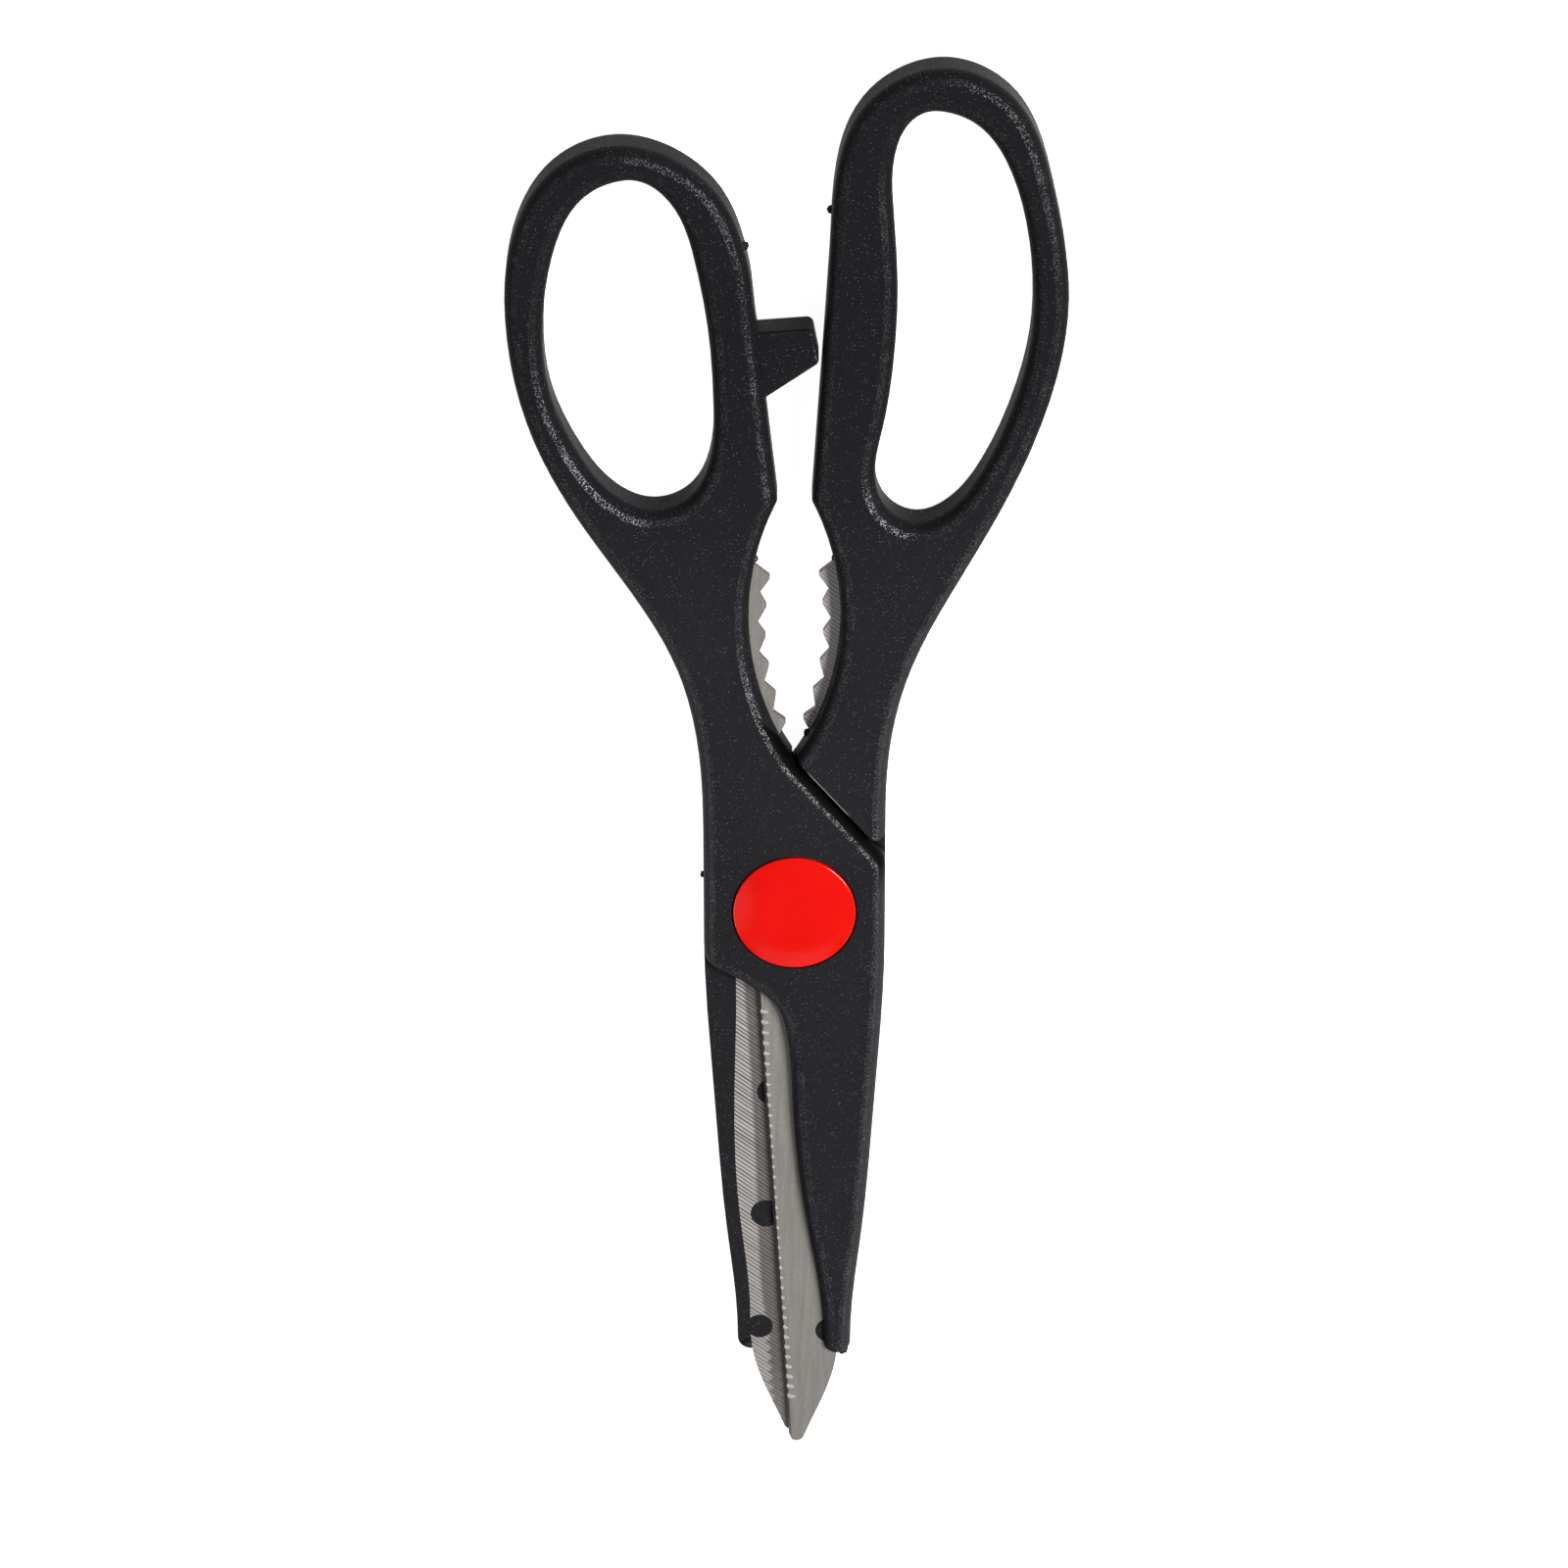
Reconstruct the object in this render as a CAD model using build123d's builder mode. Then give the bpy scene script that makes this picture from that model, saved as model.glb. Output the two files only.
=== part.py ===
from build123d import *
import os
from math import cos, sin, sqrt

# Kitchen shears: two overmoulded steel halves that turn on one rivet.
# They lie on their back with the blades closed. +Z is the front face, +Y runs up to the finger
# loops, the Z axis is the pivot, and z = 0 is the plane that the shears rest on.
# Each half is drawn as seen from its own side, loop to the left and sheath to the right, and
# its heights count from the plane where the two halves meet.

# Thicknesses
grip_thickness = 8.4
hub_thickness = 7.2
sheath_end_thickness = 5.8
steel_thickness = 1.2
running_gap = 0.06
edge_rounding = 2.0
rim_flat = 1.0
overrun = 5.0

# Hub, the wide flat round the rivet, and its sloping shoulder
hub_width = 26.8
hub_side_rise = 8.0
hub_side_drop = 5.5
hub_flat_rise = 22.0
hub_flat_drop = 14.0
shoulder_drop = 15.5
hub_corner_radius = 3.5
step_gap = 0.6
step_corner_radius = 1.4

# Jaw between the shanks, with its teeth
jaw_radius = 43.0
jaw_waist = 6.65
jaw_middle = 47.1
vee_radius = 6.0
tooth_count = 6
tooth_pitch = 4.93
tooth_first = 6.4
tooth_reach = 2.85
tooth_last_reach = 1.85
tooth_depth = 1.4
tooth_tip_radius = 0.5
tooth_valley_share = 0.56

# Grips: the small loop is on the front half, and the large loop on the rear half
inner_corner_gap = 2.45
inner_corner_radius = 1.0
small_reach = 40.9
small_length = 119.4
large_reach = 38.7
large_length = 130.8

# Lug on the small grip, which stops the closing grips and opens bottles
lug_thickness = 5.6
lug_top = 92.1
lug_side_height = 5.2
lug_lean = 1.0
lug_corner_radius = 1.0
lug_rounding = 0.5
closing_gap = 0.35

# Plastic sheath along the back of each blade
sheath_reach = 76.7
sheath_end_side = 8.6
sheath_end_width = 4.1
throat_drop = 20.5

# Steel blades
front_tip_reach = 92.5
rear_tip_reach = 91.2
blade_width = 9.0
steel_cover = 4.7
edge_heel = 5.6
edge_heel_drop = 13.0
edge_tip_side = 0.84
tip_width = 2.4
tip_height = 0.9
tang_reach = 58.5
bevel_width = 0.5
bevel_land = 0.1

# Holes in the steel that the plastic fills
plug_radius = 2.3
upper_plug_side = 3.3
upper_plug_drop = 32.0
lower_plug_side = 4.3
lower_plug_drop = 53.0
end_plug_radius = 2.0
end_plug_side = 5.25
end_plug_rise = 3.9

# Serrations ground along the front blade's cutting edge
serration_pitch = 1.76
serration_count = 39
serration_start_drop = 17.9
serration_radius = 0.62
serration_length = 1.45
serration_depth = 0.62
serration_middle_loss = 0.25

# Rivet and washers
rivet_radius = 2.5
rivet_clearance = 0.05
rivet_head_radius = 4.4
rivet_head_height = 0.75
peened_head_radius = 3.8
washer_radius = 4.6
washer_thickness = 0.5
spring_steel_thickness = 0.3

# Caps over the pivot, front and rear
cap_radius = 9.05
cap_clearance = 0.25
cap_seat_depth = 0.8
cap_land_radius = 4.5
cap_rim_height = 0.2
cap_edge_radius = 0.3
post_radius = 6.0
post_wall = 1.0
post_length = 1.1
post_clearance = 0.05

# Outlines drawn by hand, as shares. A shank point is a share of the way from the hub's side to
# the loop's reach, and of the way from the hub to the grip's inner corner. A loop or hole point
# is a share of the reach, and of the way from that corner to the loop's top.
small_shank_shares = ((0.024, 0.308), (0.13, 0.529), (0.367, 0.746))
small_loop_shares = (
    (0.782, -0.028), (0.929, 0.211), (1.0, 0.494), (0.968, 0.756), (0.831, 0.931),
    (0.599, 1.0), (0.347, 0.929), (0.205, 0.784), (0.154, 0.644), (0.134, 0.507),
)
small_hole_shares = (
    (0.587, 0.905), (0.738, 0.845), (0.836, 0.687), (0.871, 0.494), (0.849, 0.308),
    (0.757, 0.14), (0.626, 0.013), (0.501, -0.028), (0.374, 0.007), (0.297, 0.118),
    (0.283, 0.271), (0.299, 0.476), (0.343, 0.672), (0.435, 0.849),
)
large_shank_shares = ((0.02, 0.308), (0.136, 0.529), (0.365, 0.746))
large_loop_shares = (
    (0.792, 0.011), (0.941, 0.243), (1.0, 0.467), (0.937, 0.727), (0.783, 0.936),
    (0.548, 1.0), (0.295, 0.943), (0.165, 0.809), (0.132, 0.654), (0.111, 0.427),
)
large_hole_shares = (
    (0.517, 0.904), (0.672, 0.865), (0.786, 0.758), (0.858, 0.574), (0.864, 0.391),
    (0.805, 0.231), (0.684, 0.061), (0.568, -0.026), (0.452, -0.054), (0.341, -0.018),
    (0.297, 0.061), (0.326, 0.176), (0.367, 0.36), (0.375, 0.513), (0.357, 0.681),
    (0.367, 0.819), (0.426, 0.885),
)
# Across from the sheath's wide end to its narrow one, and down it.
sheath_side_shares = ((0.27, 0.37), (0.66, 0.72))
# Across from the sheath's end to its throat under the hub, and up it.
sheath_throat_shares = ((0.435, 0.377), (0.83, 0.775))
# Across the hub's half width, and down to the throat, along the S under the hub.
hub_s_shares = ((-0.093, 1.0), (-0.224, 0.775), (-0.418, 0.66), (-0.79, 0.512), (-0.963, 0.42))
# Across the blade's width, and down to its tip, along its back.
blade_back_shares = (
    (0.51, 0.91), (0.71, 0.84), (0.745, 0.755), (0.89, 0.605), (1.0, 0.41), (0.965, 0.215),
)
# Across the hub's half width, and up to the tang's end, along its hidden side.
tang_side_shares = ((0.7, 0.34), (0.9, 0.6), (1.3, 0.82), (1.42, 0.93), (1.25, 1.0), (0.7, 1.0))
tang_hole_shares = (0.95, 0.86)
# Where the lug springs from the small grip, and the slopes of its top and underside.
lug_root_share = 0.22
lug_top_slope_share = 0.07
lug_slant_share = 0.7

# Sizes that follow from those above
mating_height = grip_thickness / 2
hub_side = hub_width / 2
hub_face = hub_thickness / 2
face_gap = running_gap / 2
steel_face = face_gap + steel_thickness
steel_side = hub_side - steel_cover
end_plug_drop = sheath_reach - end_plug_rise
cap_seat = hub_face - cap_seat_depth
head_seat = steel_face + washer_thickness
jaw_centre = jaw_radius - jaw_waist
vee_rise = jaw_middle - sqrt(jaw_radius**2 - jaw_centre**2)
corner_rise = jaw_middle + sqrt(jaw_radius**2 - (jaw_centre + inner_corner_gap) ** 2)
loop_span = large_reach + small_reach

# The two sides, the side view and the section through the pivot
front_view = Plane(origin=(0, 0, mating_height), x_dir=(1, 0, 0), z_dir=(0, 0, 1))
rear_view = Plane(origin=(0, 0, mating_height), x_dir=(-1, 0, 0), z_dir=(0, 0, -1))
side_view = Plane(origin=(-loop_span, 0, mating_height), x_dir=(0, 1, 0), z_dir=(1, 0, 0))


def section_plane(view):
    """The plane through the pivot in which turned pieces are drawn: radius, then height."""
    return Plane(origin=view.origin, x_dir=view.x_dir, z_dir=view.x_dir.cross(view.z_dir))


def blend(start, end, share):
    return start + (end - start) * share


def jaw_point(radius, arc):
    """A point at a radius from the jaw's centre, and an arc's length up from the jaw's middle."""
    angle = arc / jaw_radius
    return (jaw_centre - radius * cos(angle), jaw_middle + radius * sin(angle))


def loop_points(shares, reach, length):
    return [(-across * reach, blend(corner_rise, length, up)) for across, up in shares]


def rim_radius(loop_shares, hole_shares, reach, length):
    """The rims' rounding, which leaves a flat between them where a loop's band is narrowest."""
    side_share = max(across for across, up in loop_shares) - max(across for across, up in hole_shares)
    top_share = max(up for across, up in loop_shares) - max(up for across, up in hole_shares)
    band = min(side_share * reach, top_share * (length - corner_rise))
    return min(edge_rounding, (band - rim_flat) / 2)


def half_plan(plane, shank_shares, loop_shares, hole_shares, reach, length):
    """A whole half from its own side: loop with its hole, shank, hub and sheath."""
    side_foot = (hub_side, -hub_side_drop)
    end_outer = (sheath_end_side, sheath_end_width / 2 - sheath_reach)
    end_tip = (sheath_end_side - sheath_end_width / 2, -sheath_reach)
    end_inner = (sheath_end_side - sheath_end_width, end_outer[1])
    side_points = [
        (blend(side_foot[0], end_outer[0], across), blend(side_foot[1], end_outer[1], down))
        for across, down in sheath_side_shares
    ]
    s_points = [(across * hub_side, -down * throat_drop) for across, down in hub_s_shares]
    throat_points = [
        (blend(end_inner[0], s_points[0][0], across), blend(end_inner[1], s_points[0][1], up))
        for across, up in sheath_throat_shares
    ]
    shank_points = [
        (-blend(hub_side, reach, across), blend(hub_side_rise, corner_rise, up))
        for across, up in shank_shares
    ]
    around_points = loop_points(loop_shares, reach, length)
    inner_end = around_points[-1]
    corner = (-inner_corner_gap, corner_rise)
    inner_slope = (corner[0] - inner_end[0], corner[1] - inner_end[1])
    vee = (0, vee_rise)
    with BuildSketch(plane) as plan:
        with BuildLine():
            Spline(side_foot, *side_points, end_outer, tangents=((0, -1), (0, -1)))
            ThreePointArc(end_outer, end_tip, end_inner)
            Spline(end_inner, *throat_points, *s_points, (-hub_side, -hub_side_drop),
                   tangents=((0, 1), (0, 1)))
            Line((-hub_side, -hub_side_drop), (-hub_side, hub_side_rise))
            Spline((-hub_side, hub_side_rise), *shank_points, *around_points,
                   tangents=((0, 1), inner_slope))
            Line(inner_end, corner)
            ThreePointArc(corner, jaw_point(jaw_radius, 0), vee)
            FilletPolyline(vee, (hub_side, vee_rise - shoulder_drop), side_foot,
                           radius=hub_corner_radius)
        make_face()
        fillet(plan.vertices().sort_by_distance(vee)[0], vee_radius)
        fillet(plan.vertices().sort_by_distance(corner)[0], inner_corner_radius)
        with BuildLine():
            Spline(*loop_points(hole_shares, reach, length), periodic=True)
        make_face(mode=Mode.SUBTRACT)
    return plan.sketch


def thickness_plan():
    """The side view that both halves keep inside: thick loops, a flatter hub, a thin sheath end."""
    loop_half = grip_thickness / 2
    end_half = sheath_end_thickness / 2
    top = max(small_length, large_length) + overrun
    end = -sheath_reach - overrun
    with BuildSketch(side_view) as view:
        with BuildLine():
            Polyline((top, 0), (top, loop_half), (corner_rise, loop_half))
            Spline((corner_rise, loop_half), (hub_flat_rise, hub_face), tangents=((-1, 0), (-1, 0)))
            Line((hub_flat_rise, hub_face), (-hub_flat_drop, hub_face))
            Spline((-hub_flat_drop, hub_face), (end, end_half), tangents=((-1, 0), (-1, 0)))
            Line((end, end_half), (end, 0))
            mirror(about=Plane.XZ)
        make_face()
    return view.sketch


def rims(part):
    """Edges between the side walls and the outer faces, in front and behind."""
    flats = part.faces().filter_by(lambda face: abs(face.normal_at().Z) > abs(face.normal_at().X)
                                   + abs(face.normal_at().Y))
    edges = [edge for face in flats for edge in face.edges()]
    return [edge for edge in edges if sum(edge.is_same(other) for other in edges) == 1]


def step_plan(plane):
    """What a half gives up to the other half's hub, below a line that clears its shoulder."""
    slope = shoulder_drop / hub_side
    line_rise = vee_rise + step_gap * sqrt(1 + slope**2)
    right = hub_side + overrun
    left = -right
    toe_side = step_corner_radius - hub_side
    toe_rise = line_rise + toe_side * slope
    with BuildSketch(plane) as plan:
        with BuildLine():
            FilletPolyline(
                (right, line_rise + right * slope),
                (toe_side, toe_rise),
                (left, toe_rise + toe_side - left),
                (left, -sheath_reach - overrun),
                (right, -sheath_reach - overrun),
                radius=[0, step_corner_radius, 0, 0, 0],
                close=True,
            )
        make_face()
    return plan.sketch


def tooth_points():
    """Tips and roots of the jaw's teeth, from the top one down."""
    points = []
    for number in range(tooth_count):
        reach = blend(tooth_reach, tooth_last_reach, number / (tooth_count - 1))
        arc = tooth_first - number * tooth_pitch
        root_arc = arc - tooth_valley_share * tooth_pitch
        points.append(jaw_point(jaw_radius - reach, arc))
        points.append(jaw_point(jaw_radius - reach + tooth_depth, root_arc))
    return points[:-1]


def steel_plan(plane, tip_reach, hole_radius):
    """A blade and its tang: cutting edge to the left below the hub, teeth to the right above."""
    edge_top = (-edge_heel, -edge_heel_drop)
    edge_end = (-edge_tip_side, tip_height - tip_reach)
    tip = (tip_width / 2 - edge_tip_side, -tip_reach)
    back_end = (tip_width - edge_tip_side, edge_end[1])
    back_points = [(across * blade_width, -down * tip_reach) for across, down in blade_back_shares]
    foot = (steel_side, -hub_side_drop)
    first_arc = tooth_first + tooth_pitch / 2
    last_arc = first_arc - tooth_count * tooth_pitch
    buried = jaw_radius + tooth_depth
    tang_points = [(-across * hub_side, up * tang_reach) for across, up in tang_side_shares]
    tang_hole = (-tang_hole_shares[0] * hub_side, tang_hole_shares[1] * tang_reach)
    upper_hole = (upper_plug_side, -upper_plug_drop)
    lower_hole = (lower_plug_side, -lower_plug_drop)
    with BuildSketch(plane) as plan:
        with BuildLine():
            Line(edge_top, edge_end)
            ThreePointArc(edge_end, tip, back_end)
            Spline(back_end, *back_points, foot, tangents=((tip_height, tip_width), (0, 1)))
            Polyline(foot, (steel_side, hub_side_drop), jaw_point(buried, last_arc))
            FilletPolyline(
                jaw_point(buried, last_arc),
                *reversed(tooth_points()),
                jaw_point(buried, first_arc),
                radius=([tooth_tip_radius, 0] * tooth_count)[:-1],
            )
            Polyline(
                jaw_point(buried, first_arc),
                *reversed(tang_points),
                (-steel_side, hub_side_drop),
                (-steel_side, -hub_side_drop),
                edge_top,
            )
        make_face()
        Circle(hole_radius, mode=Mode.SUBTRACT)
        with Locations(upper_hole, lower_hole, tang_hole):
            Circle(plug_radius, mode=Mode.SUBTRACT)
        with Locations((end_plug_side, -end_plug_drop)):
            Circle(end_plug_radius, mode=Mode.SUBTRACT)
    return plan.sketch


def end_plug_plan(plane):
    """The plug beside the sheath's end, where the sheath doesn't cover its hole."""
    with BuildSketch(plane) as plan:
        with Locations((end_plug_side, -end_plug_drop)):
            Circle(end_plug_radius)
    return plan.sketch


def disc_plan(plane, radius):
    with BuildSketch(plane) as plan:
        Circle(radius)
    return plan.sketch


def serration_places():
    """Axes of the grinding cuts: each slopes down across the cutting edge, from the face."""
    top = Vector(-edge_heel, -edge_heel_drop, mating_height + steel_face - serration_depth)
    end = Vector(-edge_tip_side, tip_height - front_tip_reach, top.Z)
    along = (end - top).normalized()
    inward = Vector(-along.Y, along.X, 0)
    up = Vector(0, 0, 1)
    slope = Vector(serration_length, serration_depth, 0).normalized()
    axis = inward * slope.X + up * slope.Y
    rise = up * slope.X - inward * slope.Y
    middle = (serration_count - 1) / 2
    places = []
    for number in range(serration_count):
        distance = serration_start_drop - edge_heel_drop + number * serration_pitch
        loss = serration_middle_loss * (1 - ((number - middle) / middle) ** 2)
        centre = top + along * distance + rise * (serration_radius + loss)
        places.append(Plane(origin=centre, x_dir=along, z_dir=axis))
    return places


def inner_side(y):
    """How far the large grip's straight inner edge stands from the centre line at a height."""
    across, rise = loop_points(large_loop_shares, large_reach, large_length)[-1]
    return blend(inner_corner_gap, -across, (y - corner_rise) / (rise - corner_rise))


def lug_plan(plane):
    """The lug, from inside the small grip to just short of the large grip's inner edge."""
    tip_rise = lug_top - lug_side_height
    tip_side = inner_side(tip_rise) - closing_gap
    root_side = -small_reach * lug_root_share
    root_width = tip_side - root_side
    with BuildSketch(plane) as plan:
        with BuildLine():
            FilletPolyline(
                (root_side, lug_top - root_width * lug_top_slope_share),
                (tip_side - lug_lean, lug_top),
                (tip_side, tip_rise),
                (root_side, tip_rise - root_width * lug_slant_share),
                radius=[0, lug_corner_radius, lug_corner_radius, 0],
                close=True,
            )
        make_face()
    return plan.sketch


def cap_section(view):
    """Half of a cap cut through its axis: flat crown, shallow dome, rounded edge and post."""
    crown = grip_thickness / 2
    rim = hub_face + cap_rim_height
    post_foot = cap_seat - post_length
    bore = post_radius - post_wall
    with BuildSketch(section_plane(view)) as section:
        with BuildLine():
            Polyline((0, cap_seat), (0, crown), (cap_land_radius, crown))
            TangentArc((cap_land_radius, crown), (cap_radius, rim), tangent=(1, 0))
            Polyline((cap_radius, rim), (cap_radius, cap_seat), (post_radius, cap_seat),
                     (post_radius, post_foot), (bore, post_foot), (bore, cap_seat), (0, cap_seat))
        make_face()
        fillet(section.vertices().group_by(Axis.X)[-1].sort_by(Axis.Y)[-1], cap_edge_radius)
    return section.sketch


def rivet_section():
    """Half of the rivet: factory head in front, shank through both blades, peened end behind."""
    head_top = head_seat + rivet_head_height
    with BuildSketch(section_plane(front_view)) as section:
        with BuildLine():
            Line((0, -head_top), (0, head_top))
            TangentArc((0, head_top), (rivet_head_radius, head_seat), tangent=(1, 0))
            Polyline((rivet_head_radius, head_seat), (rivet_radius, head_seat),
                     (rivet_radius, -head_seat), (peened_head_radius, -head_seat))
            TangentArc((0, -head_top), (peened_head_radius, -head_seat), tangent=(1, 0))
        make_face()
    return section.sketch


def spring_washer_section():
    """A dished ring: its outer rim bears on the front blade, its inner rim on the rivet's head."""
    hole = rivet_radius + rivet_clearance
    foot = steel_face + face_gap
    with BuildSketch(section_plane(front_view)) as section:
        with BuildLine():
            Polyline((hole, head_seat - spring_steel_thickness), (hole, head_seat),
                     (washer_radius, foot + spring_steel_thickness), (washer_radius, foot),
                     close=True)
        make_face()
    return section.sketch


def write(piece, name):
    piece.label = name
    export_step(piece, f"parts/{name}.step")
    print(name, round(piece.volume, 1), "mm3, solids", len(piece.solids()), "valid", piece.is_valid)


os.makedirs("parts", exist_ok=True)

with BuildPart() as front_blade:
    plan = steel_plan(front_view.offset(face_gap), front_tip_reach, rivet_radius + rivet_clearance)
    extrude(plan, amount=steel_thickness)
    long_edges = front_blade.edges().filter_by(GeomType.LINE).sort_by(SortBy.LENGTH)[-2:]
    chamfer(
        long_edges.sort_by(Axis.Z)[-1],
        length=bevel_width,
        length2=steel_thickness - bevel_land,
        reference=front_blade.faces().sort_by(Axis.Z)[-1],
    )
    with Locations(*serration_places()):
        Cylinder(serration_radius, overrun, mode=Mode.SUBTRACT)
write(front_blade.part, "front_blade")

with BuildPart() as rear_blade:
    plan = steel_plan(rear_view.offset(face_gap), rear_tip_reach, rivet_radius)
    extrude(plan, amount=steel_thickness)
    long_edges = rear_blade.edges().filter_by(GeomType.LINE).sort_by(SortBy.LENGTH)[-2:]
    chamfer(
        long_edges.sort_by(Axis.Z)[0],
        length=bevel_width,
        length2=steel_thickness - bevel_land,
        reference=rear_blade.faces().sort_by(Axis.Z)[0],
    )
write(rear_blade.part, "rear_blade")

with BuildPart() as lug:
    extrude(lug_plan(front_view.offset(-lug_thickness / 2)), amount=lug_thickness)
    fillet(rims(lug.part), lug_rounding)

with BuildPart() as front_handle:
    plan = half_plan(front_view.offset(-grip_thickness / 2), small_shank_shares,
                     small_loop_shares, small_hole_shares, small_reach, small_length)
    extrude(plan, amount=grip_thickness)
    extrude(thickness_plan(), amount=loop_span * 2, mode=Mode.INTERSECT)
    fillet(rims(front_handle.part),
           rim_radius(small_loop_shares, small_hole_shares, small_reach, small_length))
    add(lug.part)
    extrude(step_plan(front_view.offset(face_gap)), amount=-grip_thickness, mode=Mode.SUBTRACT)
    extrude(disc_plan(front_view.offset(cap_seat), cap_radius + cap_clearance),
            amount=overrun, mode=Mode.SUBTRACT)
    extrude(disc_plan(front_view, post_radius + post_clearance), amount=overrun, mode=Mode.SUBTRACT)
    add(front_blade.part, mode=Mode.SUBTRACT)
    extrude(end_plug_plan(front_view.offset(face_gap)), amount=steel_thickness)
write(front_handle.part, "front_handle")

with BuildPart() as rear_handle:
    plan = half_plan(rear_view.offset(-grip_thickness / 2), large_shank_shares,
                     large_loop_shares, large_hole_shares, large_reach, large_length)
    extrude(plan, amount=grip_thickness)
    extrude(thickness_plan(), amount=loop_span * 2, mode=Mode.INTERSECT)
    fillet(rims(rear_handle.part),
           rim_radius(large_loop_shares, large_hole_shares, large_reach, large_length))
    extrude(step_plan(rear_view.offset(face_gap)), amount=-grip_thickness, mode=Mode.SUBTRACT)
    extrude(disc_plan(rear_view.offset(cap_seat), cap_radius + cap_clearance),
            amount=overrun, mode=Mode.SUBTRACT)
    extrude(disc_plan(rear_view, post_radius + post_clearance), amount=overrun, mode=Mode.SUBTRACT)
    add(rear_blade.part, mode=Mode.SUBTRACT)
    extrude(end_plug_plan(rear_view.offset(face_gap)), amount=steel_thickness)
write(rear_handle.part, "rear_handle")

with BuildPart() as pivot_rivet:
    revolve(rivet_section(), axis=Axis.Z)
write(pivot_rivet.part, "pivot_rivet")

with BuildPart() as spring_washer:
    revolve(spring_washer_section(), axis=Axis.Z)
write(spring_washer.part, "spring_washer")

with BuildPart() as flat_washer:
    with BuildSketch(rear_view.offset(steel_face)):
        Circle(washer_radius)
        Circle(rivet_radius, mode=Mode.SUBTRACT)
    extrude(amount=washer_thickness)
write(flat_washer.part, "flat_washer")

with BuildPart() as front_cap:
    revolve(cap_section(front_view), axis=Axis.Z)
write(front_cap.part, "front_cap")

with BuildPart() as rear_cap:
    revolve(cap_section(rear_view), axis=Axis.Z)
write(rear_cap.part, "rear_cap")
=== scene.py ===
# %% [markdown]
# # A pair of kitchen shears
#
# The shears are two halves of steel and black plastic that turn on one rivet under a red cap.
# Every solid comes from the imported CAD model, at its true size and place, in metres.
# What is left to make here is what the eye sees: the grain of the moulded plastic, the grind
# lines on the steel, the gloss of the cap, the small burrs that the mould leaves, and the light.

# %% Load the CAD model
import math
import random

import bmesh
import bpy
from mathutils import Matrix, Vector


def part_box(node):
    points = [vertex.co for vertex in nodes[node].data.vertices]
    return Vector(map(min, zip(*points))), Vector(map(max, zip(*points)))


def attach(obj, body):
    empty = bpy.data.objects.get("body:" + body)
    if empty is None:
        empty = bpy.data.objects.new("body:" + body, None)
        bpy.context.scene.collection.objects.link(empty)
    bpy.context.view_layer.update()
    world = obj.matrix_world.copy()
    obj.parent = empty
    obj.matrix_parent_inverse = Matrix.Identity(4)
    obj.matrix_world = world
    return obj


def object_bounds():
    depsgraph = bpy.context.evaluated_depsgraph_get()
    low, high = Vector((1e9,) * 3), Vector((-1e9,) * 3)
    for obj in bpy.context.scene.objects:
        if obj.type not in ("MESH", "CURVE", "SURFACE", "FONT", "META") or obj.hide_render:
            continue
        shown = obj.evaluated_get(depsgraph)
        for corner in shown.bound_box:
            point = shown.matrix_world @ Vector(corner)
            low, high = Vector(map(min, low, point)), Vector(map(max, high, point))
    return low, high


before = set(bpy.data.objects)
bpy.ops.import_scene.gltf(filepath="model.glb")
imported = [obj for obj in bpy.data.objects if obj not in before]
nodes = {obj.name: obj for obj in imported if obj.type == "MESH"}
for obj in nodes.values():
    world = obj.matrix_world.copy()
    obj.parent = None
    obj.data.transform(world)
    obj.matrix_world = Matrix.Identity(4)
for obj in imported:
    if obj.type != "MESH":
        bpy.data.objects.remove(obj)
cad_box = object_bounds()
print("nodes:", sorted(nodes))
print("box of the CAD model, in metres:", [[round(c, 4) for c in corner] for corner in cad_box])

# %% [markdown]
# ## What arrives from the CAD model
#
# Each solid is a fine mesh whose normals already follow the true surfaces, so a rounded rim looks
# round and a ground edge stays crisp. Shading it smooth again would only blur the edges, so the
# meshes stay as they are, and all the work goes into the finishes and into the small burrs.

# %% Look at the solids
for name, node in nodes.items():
    low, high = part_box(name)
    size_mm = [round((high[axis] - low[axis]) * 1000, 1) for axis in range(3)]
    print(name, "has", len(node.data.polygons), "faces and is", size_mm, "mm")

# %% [markdown]
# ## Helpers for materials
#
# All finishes are built from nodes. Each one starts from Object coordinates, which are metres from
# the spot on the table below the pivot, so a scale of 3000 means about three grains to a
# millimetre. That keeps the size of every grain true, however the camera stands, and the pattern
# turns with the half it belongs to.

# %% Start a material
def start_material(name, roughness=0.5, metallic=0.0, specular=0.5):
    """A new material with its shader, and the constant values set on the shader's own sockets."""
    material = bpy.data.materials.new(name)
    material.use_nodes = True
    tree = material.node_tree
    shader = tree.nodes["Principled BSDF"]
    shader.inputs["Roughness"].default_value = roughness
    shader.inputs["Metallic"].default_value = metallic
    shader.inputs["Specular IOR Level"].default_value = specular
    return material, tree, shader


def add_node(tree, kind, settings=None, **inputs):
    """Add a node, set its options, and give each input a value or a link. i0 is input number 0."""
    node = tree.nodes.new(kind)
    for key, value in (settings or {}).items():
        setattr(node, key, value)
    for key, value in inputs.items():
        numbered = key[0] == "i" and key[1:].isdigit()
        socket = node.inputs[int(key[1:]) if numbered else key]
        if isinstance(value, bpy.types.NodeSocket):
            tree.links.new(value, socket)
        else:
            socket.default_value = value
    return node


print("start_material and add_node are ready")

# %% Write small recipes for values and colours
def ranged(tree, value, low, high, to_low=0.0, to_high=1.0):
    """Map a value from one range to another and clamp it there."""
    node = add_node(tree, "ShaderNodeMapRange", {"clamp": True}, i0=value)
    for index, number in enumerate((low, high, to_low, to_high), start=1):
        node.inputs[index].default_value = number
    return node.outputs[0]


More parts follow.
